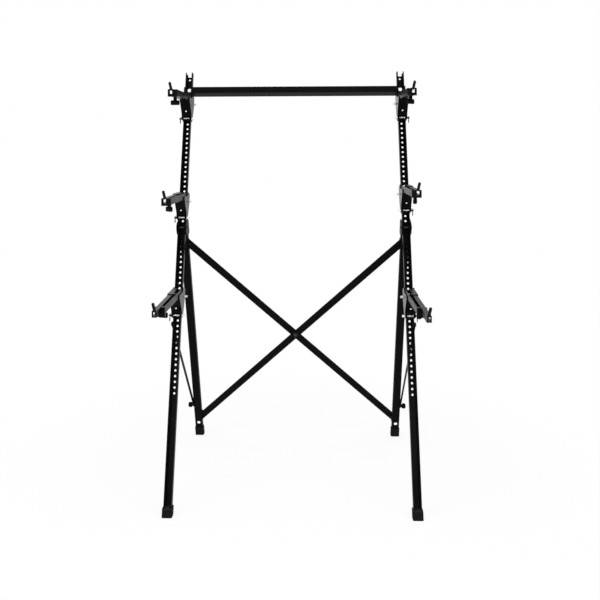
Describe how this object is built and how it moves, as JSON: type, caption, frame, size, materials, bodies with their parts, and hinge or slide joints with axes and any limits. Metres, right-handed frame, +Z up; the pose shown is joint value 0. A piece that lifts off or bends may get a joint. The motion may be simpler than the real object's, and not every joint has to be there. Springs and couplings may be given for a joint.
{
  "type": "a-frame keyboard stand",
  "caption": "Folding A-frame stand of perforated black channels with three tiers of sliding, height-adjustable support arms, an X-braced rear frame and side stays.",
  "frame": {"origin": "on the floor, in the middle of the overall footprint box", "axes": "+X to the right seen from the player's side, +Y to the back, +Z up"},
  "size_m": [0.9506, 0.98, 1.5949],
  "materials": {
    "gloss_black": "semi-gloss black powder coat",
    "satin_black": "satin black powder coat",
    "black_rubber": "moulded, matt",
    "black_plastic": "fine-grained moulding",
    "zinc_bolt": "blackened steel with worn edges",
    "bright_pin": "bright plated steel"
  },
  "bodies": {
    "front_frame": {"front_leg_left": "gloss_black", "front_leg_right": "gloss_black", "front_foot_left": "black_rubber", "front_foot_right": "black_rubber", "top_crossbar": "gloss_black", "crossbar_bolts": "zinc_bolt", "stay_pivot_bolts": "zinc_bolt"},
    "rear_frame": {"rear_leg_left": "satin_black", "rear_leg_right": "satin_black", "rear_foot_left": "black_rubber", "rear_foot_right": "black_rubber", "hinge_clevis_left": "satin_black", "hinge_clevis_right": "satin_black", "hinge_bolts": "zinc_bolt", "brace_bar_rising": "satin_black", "brace_bar_falling": "satin_black", "brace_bolts": "zinc_bolt"},
    "side_stay_left": {"stay_left": "satin_black"},
    "stay_lock_left": {"stay_knob_left": "black_plastic"},
    "side_stay_right": {"stay_right": "satin_black"},
    "stay_lock_right": {"stay_knob_right": "black_plastic"},
    "tier_top_left": {"bracket_top_left": "gloss_black", "cradle_top_left": "gloss_black", "bracket_pins_top_left": "bright_pin"},
    "slider_top_left": {"arm_top_left": "gloss_black", "arm_peg_top_left": "black_rubber"},
    "clamp_top_left": {"arm_knob_top_left": "black_plastic"},
    "tier_top_right": {"bracket_top_right": "gloss_black", "cradle_top_right": "gloss_black", "bracket_pins_top_right": "bright_pin"},
    "slider_top_right": {"arm_top_right": "gloss_black", "arm_peg_top_right": "black_rubber"},
    "clamp_top_right": {"arm_knob_top_right": "black_plastic"},
    "tier_middle_left": {"bracket_middle_left": "gloss_black", "cradle_middle_left": "gloss_black", "bracket_pins_middle_left": "bright_pin"},
    "slider_middle_left": {"arm_middle_left": "gloss_black", "arm_peg_middle_left": "black_rubber"},
    "clamp_middle_left": {"arm_knob_middle_left": "black_plastic"},
    "tier_middle_right": {"bracket_middle_right": "gloss_black", "cradle_middle_right": "gloss_black", "bracket_pins_middle_right": "bright_pin"},
    "slider_middle_right": {"arm_middle_right": "gloss_black", "arm_peg_middle_right": "black_rubber"},
    "clamp_middle_right": {"arm_knob_middle_right": "black_plastic"},
    "tier_low_left": {"bracket_low_left": "gloss_black", "cradle_low_left": "gloss_black", "bracket_pins_low_left": "bright_pin"},
    "slider_low_left": {"arm_low_left": "gloss_black", "arm_peg_low_left": "black_rubber"},
    "clamp_low_left": {"arm_knob_low_left": "black_plastic"},
    "tier_low_right": {"bracket_low_right": "gloss_black", "cradle_low_right": "gloss_black", "bracket_pins_low_right": "bright_pin"},
    "slider_low_right": {"arm_low_right": "gloss_black", "arm_peg_low_right": "black_rubber"},
    "clamp_low_right": {"arm_knob_low_right": "black_plastic"}
  },
  "joints": [
    {"name": "rear_fold", "type": "hinge", "parent": "front_frame", "child": "rear_frame", "pos_m": [0, 0.04113, 0.97352], "axis": [-1, 0, 0], "range_deg": [0, 34]},
    {"name": "stay_swing_left", "type": "hinge", "parent": "front_frame", "child": "side_stay_left", "pos_m": [-0.435, -0.06588, 0.62351], "axis": [-1, 0, 0], "range_deg": [0, 57.8]},
    {"name": "stay_knob_turn_left", "type": "hinge", "parent": "side_stay_left", "child": "stay_lock_left", "pos_m": [-0.4633, 0.4104, 0.15221], "axis": [-1, 0, 0], "range_deg": [0, 360]},
    {"name": "stay_swing_right", "type": "hinge", "parent": "front_frame", "child": "side_stay_right", "pos_m": [0.435, -0.06588, 0.62351], "axis": [-1, 0, 0], "range_deg": [0, 57.8]},
    {"name": "stay_knob_turn_right", "type": "hinge", "parent": "side_stay_right", "child": "stay_lock_right", "pos_m": [0.4633, 0.4104, 0.15221], "axis": [1, 0, 0], "range_deg": [0, 360]},
    {"name": "tier_height_top_left", "type": "slide", "parent": "front_frame", "child": "tier_top_left", "axis": [0, 0.2924, 0.9563], "range_m": [-0.12, 0]},
    {"name": "arm_slide_top_left", "type": "slide", "parent": "tier_top_left", "child": "slider_top_left", "axis": [0, -1, 0], "range_m": [0, 0.115]},
    {"name": "arm_knob_turn_top_left", "type": "hinge", "parent": "tier_top_left", "child": "clamp_top_left", "pos_m": [-0.44, -0.06554, 1.46527], "axis": [0, 0, -1], "range_deg": [0, 360]},
    {"name": "tier_height_top_right", "type": "slide", "parent": "front_frame", "child": "tier_top_right", "axis": [0, 0.2924, 0.9563], "range_m": [-0.12, 0]},
    {"name": "arm_slide_top_right", "type": "slide", "parent": "tier_top_right", "child": "slider_top_right", "axis": [0, -1, 0], "range_m": [0, 0.115]},
    {"name": "arm_knob_turn_top_right", "type": "hinge", "parent": "tier_top_right", "child": "clamp_top_right", "pos_m": [0.44, -0.06554, 1.46527], "axis": [0, 0, -1], "range_deg": [0, 360]},
    {"name": "tier_height_middle_left", "type": "slide", "parent": "front_frame", "child": "tier_middle_left", "axis": [0, 0.2924, 0.9563], "range_m": [0, 0.1]},
    {"name": "arm_slide_middle_left", "type": "slide", "parent": "tier_middle_left", "child": "slider_middle_left", "axis": [0, -1, 0], "range_m": [0, 0.115]},
    {"name": "arm_knob_turn_middle_left", "type": "hinge", "parent": "tier_middle_left", "child": "clamp_middle_left", "pos_m": [-0.44, -0.18454, 1.07605], "axis": [0, 0, -1], "range_deg": [0, 360]},
    {"name": "tier_height_middle_right", "type": "slide", "parent": "front_frame", "child": "tier_middle_right", "axis": [0, 0.2924, 0.9563], "range_m": [0, 0.1]},
    {"name": "arm_slide_middle_right", "type": "slide", "parent": "tier_middle_right", "child": "slider_middle_right", "axis": [0, -1, 0], "range_m": [0, 0.115]},
    {"name": "arm_knob_turn_middle_right", "type": "hinge", "parent": "tier_middle_right", "child": "clamp_middle_right", "pos_m": [0.44, -0.17635, 1.10283], "axis": [0, 0, -1], "range_deg": [0, 360]},
    {"name": "tier_height_low_left", "type": "slide", "parent": "front_frame", "child": "tier_low_left", "axis": [0, 0.2924, 0.9563], "range_m": [0, 0.12]},
    {"name": "arm_slide_low_left", "type": "slide", "parent": "tier_low_left", "child": "slider_low_left", "axis": [0, -1, 0], "range_m": [-0.06, 0.055]},
    {"name": "arm_knob_turn_low_left", "type": "hinge", "parent": "tier_low_left", "child": "clamp_low_left", "pos_m": [-0.44, -0.29301, 0.72126], "axis": [0, 0, -1], "range_deg": [0, 360]},
    {"name": "tier_height_low_right", "type": "slide", "parent": "front_frame", "child": "tier_low_right", "axis": [0, 0.2924, 0.9563], "range_m": [0, 0.12]},
    {"name": "arm_slide_low_right", "type": "slide", "parent": "tier_low_right", "child": "slider_low_right", "axis": [0, -1, 0], "range_m": [-0.115, 0]},
    {"name": "arm_knob_turn_low_right", "type": "hinge", "parent": "tier_low_right", "child": "clamp_low_right", "pos_m": [0.44, -0.29301, 0.72126], "axis": [0, 0, -1], "range_deg": [0, 360]}
  ],
  "couplings": [
    {"joint": "stay_swing_left", "follows": "rear_fold", "ratio": 1.7},
    {"joint": "stay_swing_right", "follows": "rear_fold", "ratio": 1.7}
  ]
}
